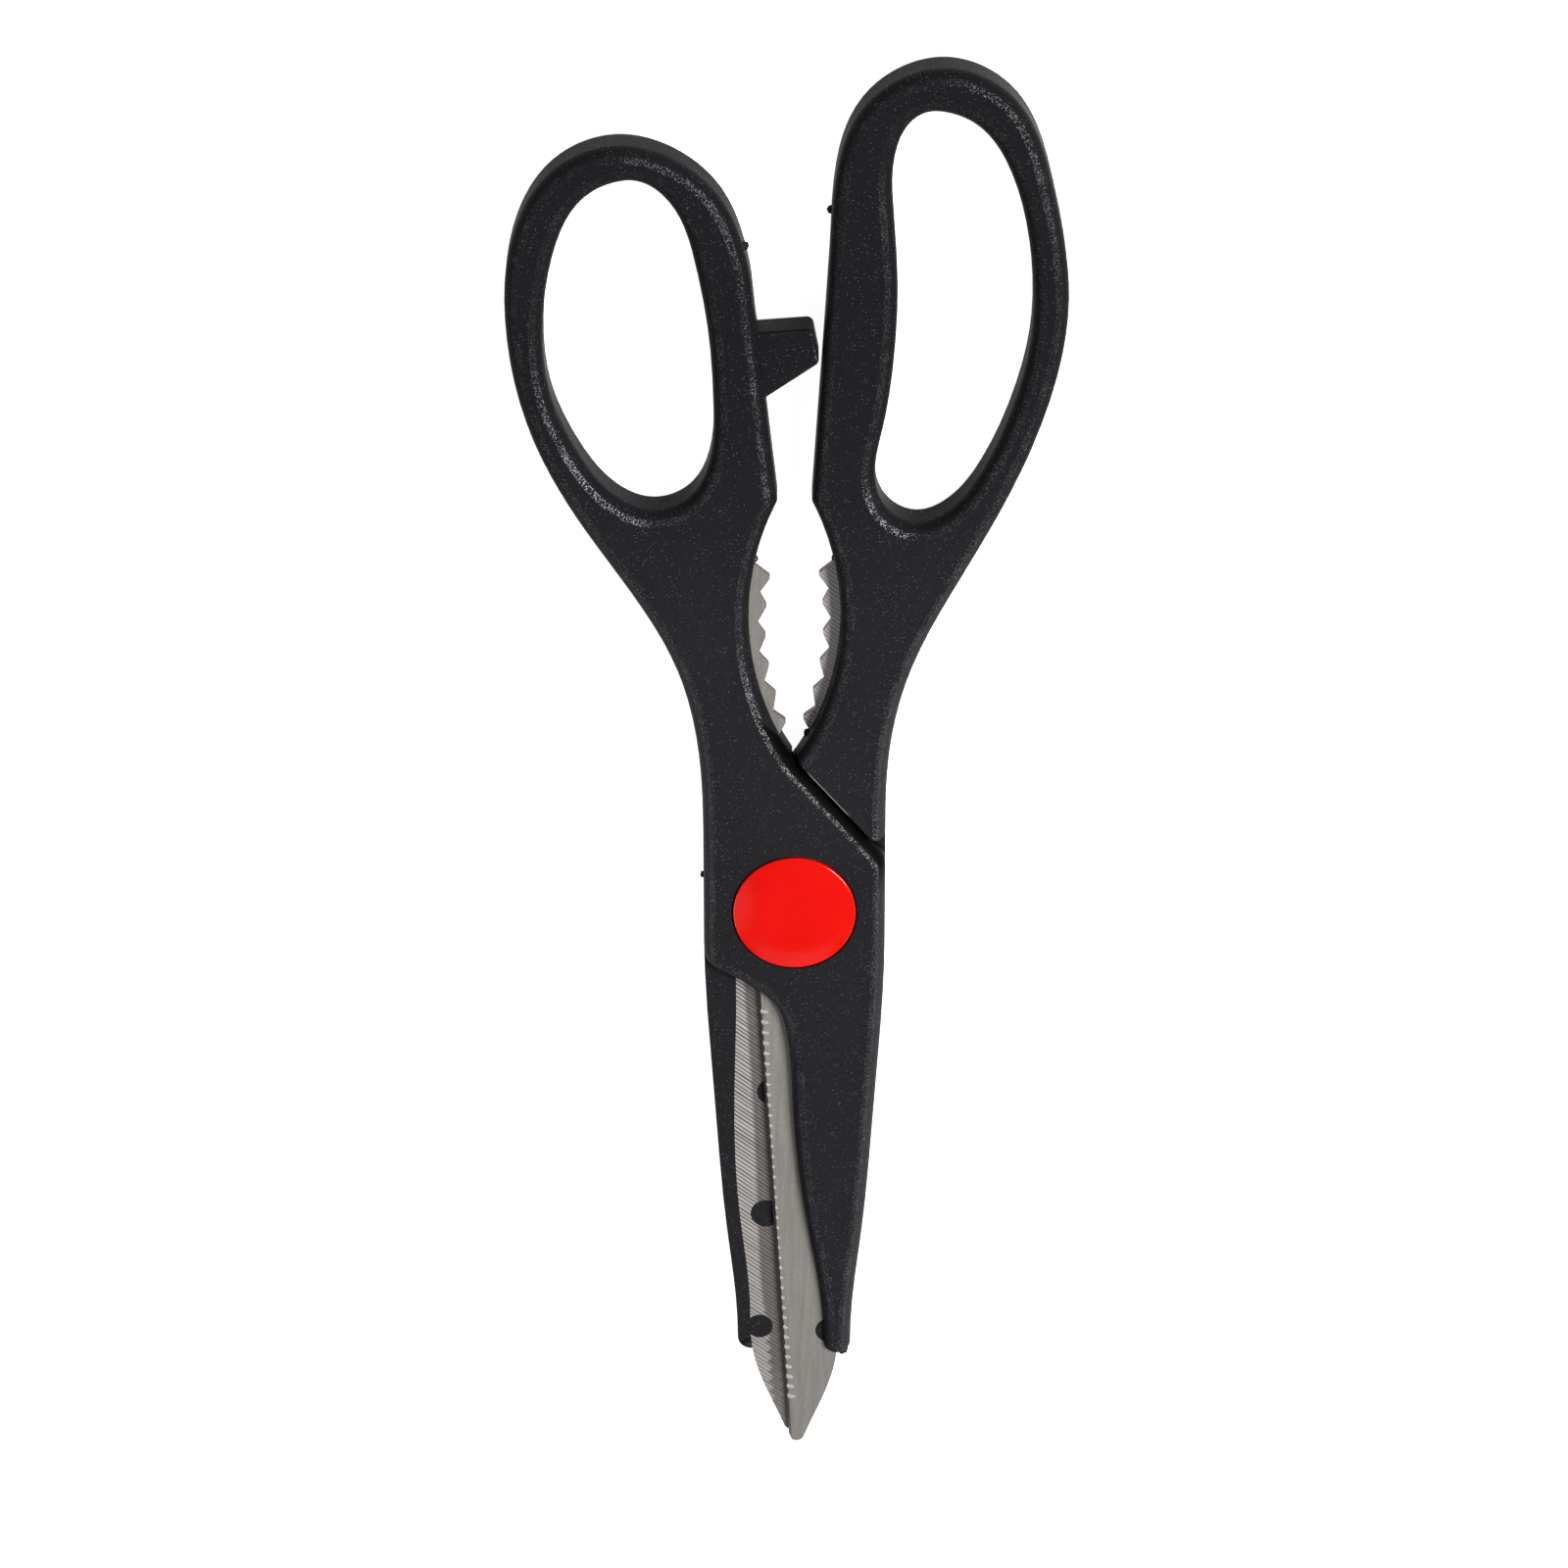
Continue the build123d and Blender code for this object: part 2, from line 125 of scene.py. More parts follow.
def math_of(tree, operation, first, second=0.0):
    """One sum of the Math node, such as ADD, or SINE, which leaves the second value unused."""
    return add_node(tree, "ShaderNodeMath", {"operation": operation}, i0=first, i1=second).outputs[0]


def product(tree, first, *others):
    """Several masks or shares multiplied."""
    for other in others:
        first = math_of(tree, "MULTIPLY", first, other)
    return first


def mixed_colour(tree, share, first, second):
    """Blend two colours by a share between 0 and 1."""
    node = add_node(tree, "ShaderNodeMix", {"data_type": "RGBA"})
    for index, value in ((0, share), (6, first), (7, second)):
        if isinstance(value, bpy.types.NodeSocket):
            tree.links.new(value, node.inputs[index])
        else:
            node.inputs[index].default_value = value
    return node.outputs[2]


def layered(tree, colour, *layers):
    """Lay tones over a colour one after the other, each by its own share."""
    for share, tone in layers:
        colour = mixed_colour(tree, share, colour, tone)
    return colour


print("recipes for values and colours are ready")

# %% Write small recipes for patterns
def object_place(tree, turn=0.0, stretch=(1, 1, 1)):
    """Object coordinates for a pattern that is stretched along its own axes and turned about Z."""
    source = add_node(tree, "ShaderNodeTexCoord")
    mapping = add_node(tree, "ShaderNodeMapping", {"vector_type": "TEXTURE"}, i0=source.outputs["Object"])
    mapping.inputs["Rotation"].default_value = (0, 0, turn)
    mapping.inputs["Scale"].default_value = stretch
    return mapping.outputs[0]


def noise(tree, place, scale, detail=2.0, roughness=0.5):
    """A cloudy value around one half, with its scale in grains per metre."""
    node = add_node(tree, "ShaderNodeTexNoise", None, Vector=place)
    node.inputs["Scale"].default_value = scale
    node.inputs["Detail"].default_value = detail
    node.inputs["Roughness"].default_value = roughness
    return node.outputs[0]


def bump(tree, height, distance, strength=1.0, under=None):
    """A normal that follows a height of so many metres, over another bump where one is given."""
    node = add_node(tree, "ShaderNodeBump", None, Height=height)
    node.inputs["Distance"].default_value = distance
    node.inputs["Strength"].default_value = strength
    if under is not None:
        tree.links.new(under, node.inputs["Normal"])
    return node.outputs[0]


print("recipes for patterns are ready")

# %% [markdown]
# ## Masks by place and direction
#
# Painted shade and light, painted glints and grinding belong to certain faces of a piece. Painting
# them by hand would need an image and its unwrapping. A mask worked out from where a point lies
# and which way it faces needs neither, and it stays right when a length of the part changes a little.

# %% Measure places and directions on a piece
X_AXIS = (1, 0, 0)
Y_AXIS = (0, 1, 0)
Z_AXIS = (0, 0, 1)


def along(tree, output, axis):
    """How far a point (Object) or a normal (Normal) reaches along an axis of the piece."""
    source = add_node(tree, "ShaderNodeTexCoord")
    node = add_node(tree, "ShaderNodeVectorMath", {"operation": "DOT_PRODUCT"}, i0=source.outputs[output])
    node.inputs[1].default_value = axis
    return node.outputs["Value"]


def band(tree, value, low, high, soft):
    """1 where a value lies between two limits, with soft ends."""
    above = ranged(tree, value, low - soft, low)
    below = ranged(tree, value, high, high + soft, 1.0, 0.0)
    return product(tree, above, below)


print("masks reach along", X_AXIS, Y_AXIS, Z_AXIS, "or any axis between them")

# %% [markdown]
# ## Painted glints in the plastic
#
# The grips are moulded with a fine spark-eroded grain, and single grains flash white in a strong
# light. Those glints are painted here, as white dots in the plastic's colour. One noise would
# give soft blotches. Cells give round dots instead: each cell holds one dot and one random chance,
# and the dot shows only if its chance is high enough. A slow noise moves that limit, so the dots
# come in loose clumps, as the glints do on the real grips.

# %% Sprinkle painted glints
CLUMP_RANGE = (0.35, 0.65)


def glint_dot_layer(tree, place, clump, flecks):
    """Round dots of painted glint that fade out towards their rim and show more often inside a clump.

    flecks holds the cells per metre, the size of a dot as a share of its cell, and the least and
    the most chance that a dot needs before it is lit.
    """
    cells_per_metre, size, least, most = flecks
    cells = add_node(tree, "ShaderNodeTexVoronoi", {"feature": "F1"}, Vector=place)
    cells.inputs["Scale"].default_value = cells_per_metre
    dot = ranged(tree, cells.outputs["Distance"], size / 2, size, 1.0, 0.0)
    chance = add_node(tree, "ShaderNodeSeparateColor", None, i0=cells.outputs["Color"]).outputs[0]
    needed = ranged(tree, clump, *CLUMP_RANGE, most, least)
    return product(tree, dot, math_of(tree, "GREATER_THAN", chance, needed))


print("a dot needs its least chance where the clump noise is over", CLUMP_RANGE[1])

# %% [markdown]
# ## Where the painted glints show
#
# The grips glint where a rim leaves the flat face and turns to the upper right, towards the
# strongest light. A real mirror image of that light would need a grain far finer than a render
# resolves, so the glints are painted as white dots, and the rim's direction decides how many show.
# The loops show fewer.

# %% Find the glinting rims
SHOULDER_FACING = (0.865, 0.985)
SHOULDER_SOFT = 0.015
GLINT_AXIS = (0.70, 0.714, 0.0)
GLINT_HEADING = (0.68, 0.97)
GLINT_ELSEWHERE = 0.12
GLINT_FADES_FROM = 0.066
GLINT_FADES_TO = 0.100
GLINT_ON_LOOPS = 0.42
LEAST_LEAN_SQUARED = 0.0004


def shoulder_mask(tree):
    """1 on the line where a rim leaves a flat face, in front and behind."""
    facing = math_of(tree, "ABSOLUTE", along(tree, "Normal", Z_AXIS))
    return band(tree, facing, *SHOULDER_FACING, SHOULDER_SOFT)


def glint_share(tree):
    """How strongly a rim shows its painted glints: fully where it turns to the upper right."""
    facing = along(tree, "Normal", Z_AXIS)
    level = math_of(tree, "SUBTRACT", 1.0, product(tree, facing, facing))
    lean = math_of(tree, "SQRT", math_of(tree, "MAXIMUM", level, LEAST_LEAN_SQUARED))
    heading = math_of(tree, "DIVIDE", along(tree, "Normal", GLINT_AXIS), lean)
    turned = ranged(tree, heading, *GLINT_HEADING, GLINT_ELSEWHERE, 1.0)
    up = along(tree, "Object", Y_AXIS)
    return product(tree, turned, ranged(tree, up, GLINT_FADES_FROM, GLINT_FADES_TO, 1.0, GLINT_ON_LOOPS))


glint_angle = math.degrees(math.atan2(GLINT_AXIS[1], GLINT_AXIS[0]))
print("rims glint most where they face", round(glint_angle), "degrees from +X")

# %% [markdown]
# ## Painted shade in the groove and a painted highlight on its edge
#
# Beside the red cap, the sloping shoulder of the front grip drops towards the rear grip and
# leaves a narrow groove. Little light gets in, and its wall is painted almost black as shade. The
# edge across the groove gets a painted highlight, one pale hair line. Both follow the same
# slanting direction, so each mask is a band along that direction.

# %% Find the groove's painted shade and the painted edge highlight
MATING_HEIGHT = cad_box[1][2] / 2
GROOVE_AXIS = (0.756, 0.654, 0.0)
GROOVE_FROM = 0.0116
GROOVE_FULL = 0.0146
GROOVE_TO = 0.0166
GROOVE_SOFT = 0.0002
GROOVE_LEAN = (0.30, 0.42)
EDGE_LINE_AT = 0.01645
EDGE_LINE_HALF = 0.00007
EDGE_LINE_SOFT = 0.00003
EDGE_LINE_ABOVE = (MATING_HEIGHT + 0.0024, MATING_HEIGHT + 0.0028)
EDGE_LINE_STRETCH = (0.0024, 0.0076)
EDGE_LINE_ENDS = 0.0006


def groove_shade_mask(tree):
    """1 where shade is painted: the steep rim of the hub's sloping shoulder, above the plane where the
    halves meet.
    """
    reach = along(tree, "Object", GROOVE_AXIS)
    started = ranged(tree, reach, GROOVE_FROM, GROOVE_FULL)
    ended = ranged(tree, reach, GROOVE_TO, GROOVE_TO + GROOVE_SOFT, 1.0, 0.0)
    above = ranged(tree, along(tree, "Object", Z_AXIS), MATING_HEIGHT, MATING_HEIGHT + GROOVE_SOFT)
    leaning = ranged(tree, along(tree, "Normal", GROOVE_AXIS), *GROOVE_LEAN)
    return product(tree, started, ended, above, leaning)


def edge_highlight_mask(tree):
    """1 on a hair-thin stretch of the rear grip's edge, where a pale highlight is painted."""
    reach = along(tree, "Object", GROOVE_AXIS)
    low, high = EDGE_LINE_AT - EDGE_LINE_HALF, EDGE_LINE_AT + EDGE_LINE_HALF
    beside = band(tree, reach, low, high, EDGE_LINE_SOFT)
    front = ranged(tree, along(tree, "Object", Z_AXIS), *EDGE_LINE_ABOVE)
    stretch = band(tree, along(tree, "Object", X_AXIS), *EDGE_LINE_STRETCH, EDGE_LINE_ENDS)
    return product(tree, beside, front, stretch)


print("the halves meet", round(MATING_HEIGHT * 1000, 2), "mm up")
# This print gives the width of the stretch that carries the painted highlight.
print("the rubbed edge is", round(EDGE_LINE_HALF * 2000, 2), "mm wide")

# %% [markdown]
# ## Painted shade on steep walls and painted light on outer rims
#
# Between the flat face and the upright wall, a rim is painted darker, as shade where it turns
# away from the light. Down the outside of the shanks, hub and sheaths, the leaning rim faces the
# pale table instead, and painted light makes it a shade lighter. Both masks read the normal, and
# the second one also reads the place.

# %% Find the steep walls and the outer rims
STEEP_FACING = (0.25, 0.70)
STEEP_SOFT = 0.12
RIM_LEAN = (0.35, 0.92)
RIM_SOFT = 0.12
RIM_ENDS = (0.050, 0.070)
RIM_UPTURN = (0.15, 0.40)


def steep_shade_mask(tree):
    """1 on the steep part of a rim, where shade is painted."""
    facing = math_of(tree, "ABSOLUTE", along(tree, "Normal", Z_AXIS))
    return band(tree, facing, *STEEP_FACING, STEEP_SOFT)


def outer_rim_light_mask(tree):
    """1 on the leaning outer rims of the shanks, hub and sheaths, where the pale table's light is
    painted.
    """
    side = math_of(tree, "SIGN", along(tree, "Object", X_AXIS))
    outward = product(tree, along(tree, "Normal", X_AXIS), side)
    leaning = band(tree, outward, *RIM_LEAN, RIM_SOFT)
    below_loops = ranged(tree, along(tree, "Object", Y_AXIS), *RIM_ENDS, 1.0, 0.0)
    turned_down = ranged(tree, along(tree, "Normal", Y_AXIS), *RIM_UPTURN, 1.0, 0.0)
    return product(tree, leaning, below_loops, turned_down)


print("pale outer rims end", round(RIM_ENDS[1] * 1000), "mm above the pivot")

# %% [markdown]
# ## Black moulded plastic
#
# The grips are moulded in a tough plain plastic, nearly black on the flat faces. A plain rough
# black would look like paint, and an image of the grain would repeat. Here a fine noise makes the
# grain in the bump and in the pits' darker tone. The masks lay their tones over it: painted shade
# on the steep rims and in the groove, painted light on the outer rims, and a painted highlight on
# one edge. The white dots of painted glints come last. The loops are a shade darker than the hub.

# %% Choose the tones of the plastic
PLASTIC_DEEP = (0.0172, 0.0172, 0.0196, 1)
PLASTIC_PALE = (0.0222, 0.0222, 0.0253, 1)
PLASTIC_PIT = (0.0120, 0.0120, 0.0138, 1)
# Painted shade on the steep part of the rims.
STEEP_PAINTED_SHADE = (0.0040, 0.0040, 0.0045, 1)
LOOP_TONE = (0.0060, 0.0060, 0.0068, 1)
# Painted light on the outer rims that face the pale table.
RIM_PAINTED_LIGHT = (0.050, 0.050, 0.054, 1)
# Painted shade in the groove beside the hub's shoulder.
GROOVE_PAINTED_SHADE = (0.0012, 0.0012, 0.0013, 1)
# Painted highlight on the rear grip's edge beside the groove.
EDGE_HIGHLIGHT_TONE = (0.16, 0.16, 0.165, 1)
# The white of the painted glints.
GLINT_PAINT_WHITE = (0.80, 0.80, 0.82, 1)
STEEP_SHARE = 0.3
LOOP_SHARE = 0.5
RIM_SHARE = 0.34
GROOVE_SHARE = 0.9
LOOPS_DARKEN = (0.045, 0.085)


def toned_plastic(tree, base):
    """The plastic's colour with painted shade, painted light, a painted highlight and the darker loops
    laid over it.
    """
    loops = ranged(tree, along(tree, "Object", Y_AXIS), *LOOPS_DARKEN, 0.0, LOOP_SHARE)
    return layered(
        tree, base,
        (product(tree, steep_shade_mask(tree), STEEP_SHARE), STEEP_PAINTED_SHADE),
        (loops, LOOP_TONE),
        (product(tree, outer_rim_light_mask(tree), RIM_SHARE), RIM_PAINTED_LIGHT),
        (product(tree, groove_shade_mask(tree), GROOVE_SHARE), GROOVE_PAINTED_SHADE),
        (edge_highlight_mask(tree), EDGE_HIGHLIGHT_TONE),
    )


print("the flat faces' tone is", round(PLASTIC_DEEP[0] / GROOVE_PAINTED_SHADE[0]), "times as pale as the groove's")

# %% Spread the painted glints
FINE_GLINTS = (7200, 0.48, 0.32, 0.82)
COARSE_GLINTS = (3000, 0.28, 0.66, 0.98)
SPARSE_GLINTS = (4600, 0.32, 0.80, 0.99)
CLUMPS_PER_METRE = 330
FINE_SHARE = 0.85
FLAT_SHARE = 0.17


def painted_glints(tree, place):
    """The share of painted glint white: dense dots on the glinting rims and a faint few on the flat
    faces.
    """
    clump = noise(tree, place, CLUMPS_PER_METRE, detail=4.0, roughness=0.7)
    fine = product(tree, glint_dot_layer(tree, place, clump, FINE_GLINTS), FINE_SHARE)
    dots = math_of(tree, "MAXIMUM", fine, glint_dot_layer(tree, place, clump, COARSE_GLINTS))
    on_rim = product(tree, dots, shoulder_mask(tree), glint_share(tree))
    on_flat = product(tree, glint_dot_layer(tree, place, clump, SPARSE_GLINTS), FLAT_SHARE)
    outside_groove = math_of(tree, "SUBTRACT", 1.0, groove_shade_mask(tree))
    return product(tree, math_of(tree, "MAXIMUM", on_rim, on_flat), outside_groove)


print("cells of the fine flecks are", round(1000 / FINE_GLINTS[0], 2), "mm apart")

# %% Make the black plastic
GRAINS_PER_METRE = 4200
GRAIN_RANGE = (0.35, 0.7)
GRAIN_DEPTH = 0.00005
CLOUDS_PER_METRE = 60
CLOUD_RANGE = (0.3, 0.7)
PLASTIC_ROUGHNESS = (0.40, 0.50)


def black_plastic():
    """Nearly black plastic with a moulded grain, tones by place with painted shade and light, and painted
    glints.
    """
    middle = sum(PLASTIC_ROUGHNESS) / 2
    material, tree, shader = start_material("moulded_black_plastic", roughness=middle, specular=0.012)
    place = object_place(tree)
    grain = noise(tree, place, GRAINS_PER_METRE, detail=3.0, roughness=0.7)
    cloud = noise(tree, place, CLOUDS_PER_METRE, detail=4.0)
    base = mixed_colour(tree, ranged(tree, cloud, *CLOUD_RANGE), PLASTIC_DEEP, PLASTIC_PALE)
    base = mixed_colour(tree, ranged(tree, grain, *GRAIN_RANGE), PLASTIC_PIT, base)
    colour = mixed_colour(tree, painted_glints(tree, place), toned_plastic(tree, base), GLINT_PAINT_WHITE)
    tree.links.new(colour, shader.inputs["Base Color"])
    tree.links.new(ranged(tree, cloud, *CLOUD_RANGE, *PLASTIC_ROUGHNESS), shader.inputs["Roughness"])
    tree.links.new(bump(tree, grain, GRAIN_DEPTH, strength=0.6), shader.inputs["Normal"])
    return material


moulded_black = black_plastic()
print("made", moulded_black.name, "with", len(moulded_black.node_tree.nodes), "nodes")

# %% [markdown]
# ## The faces of a blade
#
# A blade is stamped from stainless sheet. Its outer face is an even satin, its inner face is
# ground flat, its cutting edge has a narrow bevel, and the front blade has small scallops along
# that edge. On the CAD mesh all of these are one piece, so the way a face points says which one
# it is.

# %% Tell the faces of a blade apart
INNER_FACING = (0.9, 0.99)
SCALLOP_FACING = (0.62, 0.965)
SCALLOP_SOFT = 0.02
BEVEL_FACING = (0.25, 0.55)
BEVEL_SOFT = 0.05
WALL_FACING = (0.05, 0.2)


def blade_masks(tree, inner_side):
    """Masks of the inner face, the scallops, the cutting bevel and the cut walls of a blade."""
    towards_inner = product(tree, along(tree, "Normal", Z_AXIS), inner_side)
    away = product(tree, towards_inner, -1.0)
    inner = ranged(tree, towards_inner, *INNER_FACING)
    scallop = band(tree, away, *SCALLOP_FACING, SCALLOP_SOFT)
    bevel = band(tree, away, *BEVEL_FACING, BEVEL_SOFT)
    wall = ranged(tree, math_of(tree, "ABSOLUTE", towards_inner), *WALL_FACING, 1.0, 0.0)
    return inner, scallop, bevel, wall


bevel_lean = math.degrees(math.asin(sum(BEVEL_FACING) / 2))
print("the bevel's normal leans about", round(bevel_lean), "degrees up from the wall's")

# %% [markdown]
# ## Grind lines
#
# The inner face slides on the other blade, so it is ground flat, and the wheel leaves slanting
# lines. A wave alone would look like a printed ruling, and a noise alone has no pitch. So the
# lines are half a wave at the wheel's pitch and half a noise, both stretched sixtyfold along the
# slant, which makes them long, straight and uneven.

# %% Draw the grind lines
GRIND_STRETCH = 60
GRIND_PITCH = 0.00054
WAVE_PERIOD = 0.314
SCRATCHES_PER_METRE = 1300


def grind_lines(tree, slant):
    """Ridges at the wheel's pitch with finer scratches between them, all along one direction."""
    place = object_place(tree, turn=slant, stretch=(GRIND_STRETCH, 1, 1))
    ridges = add_node(tree, "ShaderNodeTexWave", {"bands_direction": "Y"}, Vector=place)
    ridges.inputs["Scale"].default_value = WAVE_PERIOD / GRIND_PITCH
    ridges.inputs["Distortion"].default_value = 2.4
    ridges.inputs["Detail"].default_value = 2.0
    ridges.inputs["Detail Scale"].default_value = 2.2
    scratches = noise(tree, place, SCRATCHES_PER_METRE, detail=3.0, roughness=0.65)
    half = product(tree, ridges.outputs["Fac"], 0.5)
    return math_of(tree, "ADD", half, product(tree, scratches, 0.5))


print("grind lines every", GRIND_PITCH * 1000, "mm")

# %% [markdown]
# ## The painted shadow of the other blade
#
# When the shears are closed, the front blade's edge casts a shadow on the rear blade, painted
# here as a darker strip beside it. Near the tip the painted shadow of its scallops gives the
# strip's border small lobes. The strip could be a second thin mesh, but that would flicker against
# the steel. It is a mask instead: a soft band along the edge's direction, pushed about by a slow
# noise and by a wave.

# %% Mark the painted shadow of the other blade
SHADOW_STRIP_AXIS = (0.9982, 0.0604, 0.0)
SHADOW_STRIP_EDGE = -0.00638
SHADOW_STRIP_WIDTH = 0.0021
SHADOW_STRIP_HIDDEN = 0.0007
SHADOW_STRIP_SOFT = 0.0006
SHADOW_STRIP_WOBBLE = 0.0003
WOBBLES_PER_METRE = 420
LOBE_PITCH = 0.00176
LOBE_DEPTH = 0.0007
LOBES_FROM = (-0.074, -0.066)
WIDER_BY = 0.0007
WIDER_FROM = (-0.062, -0.035)
SHADOW_STRIP_STARTS = (-0.013, -0.009)
SHADOW_STRIP_FADES = (-0.090, -0.080)
SHADOW_STRIP_AT_TIP = 0.6


def shadow_strip_border(tree, up):
    """How far a point lies across the painted shadow strip, with the wobble, the lobes and the wider end.
    """
    wobble = noise(tree, object_place(tree, stretch=(1, 2, 1)), WOBBLES_PER_METRE, detail=1.0)
    across = along(tree, "Object", SHADOW_STRIP_AXIS)
    across = math_of(tree, "ADD", across, product(tree, wobble, SHADOW_STRIP_WOBBLE))
    turns = product(tree, up, math.pi / LOBE_PITCH)
    lobe = math_of(tree, "ABSOLUTE", math_of(tree, "SINE", turns))
    depth = ranged(tree, up, *LOBES_FROM, LOBE_DEPTH, 0.0)
    across = math_of(tree, "SUBTRACT", across, product(tree, lobe, depth))
    return math_of(tree, "ADD", across, ranged(tree, up, *WIDER_FROM, WIDER_BY, 0.0))


def painted_shadow_strip(tree):
    """1 in the painted shadow strip beside the other blade's edge when the shears are closed, soft on
    both sides.
    """
    up = along(tree, "Object", Y_AXIS)
    hidden_side = SHADOW_STRIP_EDGE + SHADOW_STRIP_HIDDEN
    strip = band(tree, shadow_strip_border(tree, up), hidden_side - SHADOW_STRIP_WIDTH, hidden_side, SHADOW_STRIP_SOFT)
    below_hub = ranged(tree, up, *SHADOW_STRIP_STARTS, 1.0, 0.0)
    before_tip = ranged(tree, up, *SHADOW_STRIP_FADES, SHADOW_STRIP_AT_TIP, 1.0)
    return product(tree, strip, below_hub, before_tip)


# This print gives the width of the painted shadow strip.
print("the track is", SHADOW_STRIP_WIDTH * 1000, "mm wide and its lobes", LOBE_PITCH * 1000, "mm apart")

# %% [markdown]
# ## The two looks of the steel
#
# Tumbling leaves the outer face an even, slightly warm satin with faint streaks along the blade.
# Grinding leaves the inner face striped. One recipe for both would blur that difference, so each
# face has its own. The stripes fade towards the tip, and in the nutcracker's jaw the steel gets
# painted light, paler against the shade of the grip's rim.

# %% Make the satin face
SATIN_DEEP = (0.320, 0.304, 0.283, 1)
SATIN_PALE = (0.400, 0.380, 0.355, 1)
SATIN_CLOUD = (0.29, 0.276, 0.257, 1)
SATIN_STREAK = (0.23, 0.217, 0.203, 1)
SATIN_RANGE = (0.3, 0.7)
SATIN_CLOUDS_PER_METRE = 150
SATIN_CLOUD_RANGE = (0.25, 0.75)
SATIN_CLOUD_SHARE = 0.3
STREAKS_PER_METRE = 1700
STREAK_STRETCH = 16
STREAK_RANGE = (0.40, 0.70)
STREAK_SHARE = 0.45


def satin_face(tree, satin):
    """The outer face: a fine satin with slow clouds and streaks along the blade."""
    long_place = object_place(tree, stretch=(1, STREAK_STRETCH, 1))
    cloud = noise(tree, object_place(tree), SATIN_CLOUDS_PER_METRE, detail=3.0)
    streaks = noise(tree, long_place, STREAKS_PER_METRE, detail=3.0, roughness=0.6)
    return layered(
        tree, mixed_colour(tree, ranged(tree, satin, *SATIN_RANGE), SATIN_DEEP, SATIN_PALE),
        (ranged(tree, cloud, *SATIN_CLOUD_RANGE, 0.0, SATIN_CLOUD_SHARE), SATIN_CLOUD),
        (ranged(tree, streaks, *STREAK_RANGE, 0.0, STREAK_SHARE), SATIN_STREAK),
    )


print("the satin's blue is", round(SATIN_PALE[2] / SATIN_PALE[0], 2), "of its red, so it is warm")

# %% Make the ground face
GROUND_DEEP = (0.16, 0.148, 0.143, 1)
GROUND_PALE = (0.56, 0.532, 0.522, 1)
GROUND_FADED = (0.40, 0.378, 0.369, 1)
# Painted light that lifts the shade of the grip's rim in the jaw.
JAW_PAINTED_LIGHT = (0.66, 0.63, 0.62, 1)
# Painted shadow of the front blade's edge on the rear blade.
PAINTED_SHADOW_TONE = (0.10, 0.085, 0.083, 1)
LINE_RANGE = (0.28, 0.62)
LINES_FADE = (-0.085, -0.045)
FADED_SHARE = 0.6
JAW_STARTS = (0.028, 0.034)
JAW_SHARE = 0.55
SHADOW_STRIP_SHARE = 0.68


def ground_face(tree, lines, shadow_strip):
    """The inner face: grind lines that fade to the tip, painted light in the jaw, and the painted shadow
    strip if one is asked for.
    """
    up = along(tree, "Object", Y_AXIS)
    ground = layered(
        tree, mixed_colour(tree, ranged(tree, lines, *LINE_RANGE), GROUND_DEEP, GROUND_PALE),
        (ranged(tree, up, *LINES_FADE, FADED_SHARE, 0.0), GROUND_FADED),
        (ranged(tree, up, *JAW_STARTS, 0.0, JAW_SHARE), JAW_PAINTED_LIGHT),
    )
    if shadow_strip:
        ground = layered(tree, ground, (product(tree, painted_shadow_strip(tree), SHADOW_STRIP_SHARE), PAINTED_SHADOW_TONE))
    return ground


print("the jaw's steel starts", JAW_STARTS[0] * 1000, "mm above the pivot")

# %% [markdown]
# ## The whole blade
#
# A blade wears one material, because its faces meet without a seam. The masks choose between the
# satin and the ground face, and lay the bevel's painted shade, the darker cut walls and the bright
# scallops over them. The scallops are cut last on the real blade, so they are also a little
# smoother.

# %% Make the steel of both blades
WALL_TONE = (0.17, 0.155, 0.145, 1)
# Painted shade on the cutting bevel.
BEVEL_PAINTED_SHADE = (0.10, 0.088, 0.08, 1)
SCALLOP_TONE = (0.64, 0.62, 0.59, 1)
SATIN_ROUGHNESS = 0.70
GROUND_ROUGHNESS = 0.72
SCALLOP_SMOOTHER = -0.14
SATIN_GRAINS_PER_METRE = 5200
SATIN_STRETCH = 3
SATIN_DEPTH = 0.000012
LINE_DEPTH = 0.00005
GRIND_SLANT = math.radians(37)


def blade_steel(name, inner_side, slant, shadow_strip):
    """Satin steel outside and ground steel inside, with painted shade on the bevel and bright scallops.
    """
    material, tree, shader = start_material(name, metallic=1.0)
    satin_place = object_place(tree, stretch=(1, SATIN_STRETCH, 1))
    satin = noise(tree, satin_place, SATIN_GRAINS_PER_METRE, detail=3.0, roughness=0.6)
    lines = grind_lines(tree, slant)
    inner, scallop, bevel, wall = blade_masks(tree, inner_side)
    colour = mixed_colour(tree, inner, satin_face(tree, satin), ground_face(tree, lines, shadow_strip))
    colour = layered(tree, colour, (wall, WALL_TONE), (bevel, BEVEL_PAINTED_SHADE), (scallop, SCALLOP_TONE))
    tree.links.new(colour, shader.inputs["Base Color"])
    rough = ranged(tree, inner, 0.0, 1.0, SATIN_ROUGHNESS, GROUND_ROUGHNESS)
    rough = math_of(tree, "ADD", rough, product(tree, scallop, SCALLOP_SMOOTHER))
    tree.links.new(rough, shader.inputs["Roughness"])
    fine = bump(tree, satin, SATIN_DEPTH, strength=0.5)
    striped = bump(tree, product(tree, lines, inner), LINE_DEPTH, strength=0.7, under=fine)
    tree.links.new(striped, shader.inputs["Normal"])
    return material


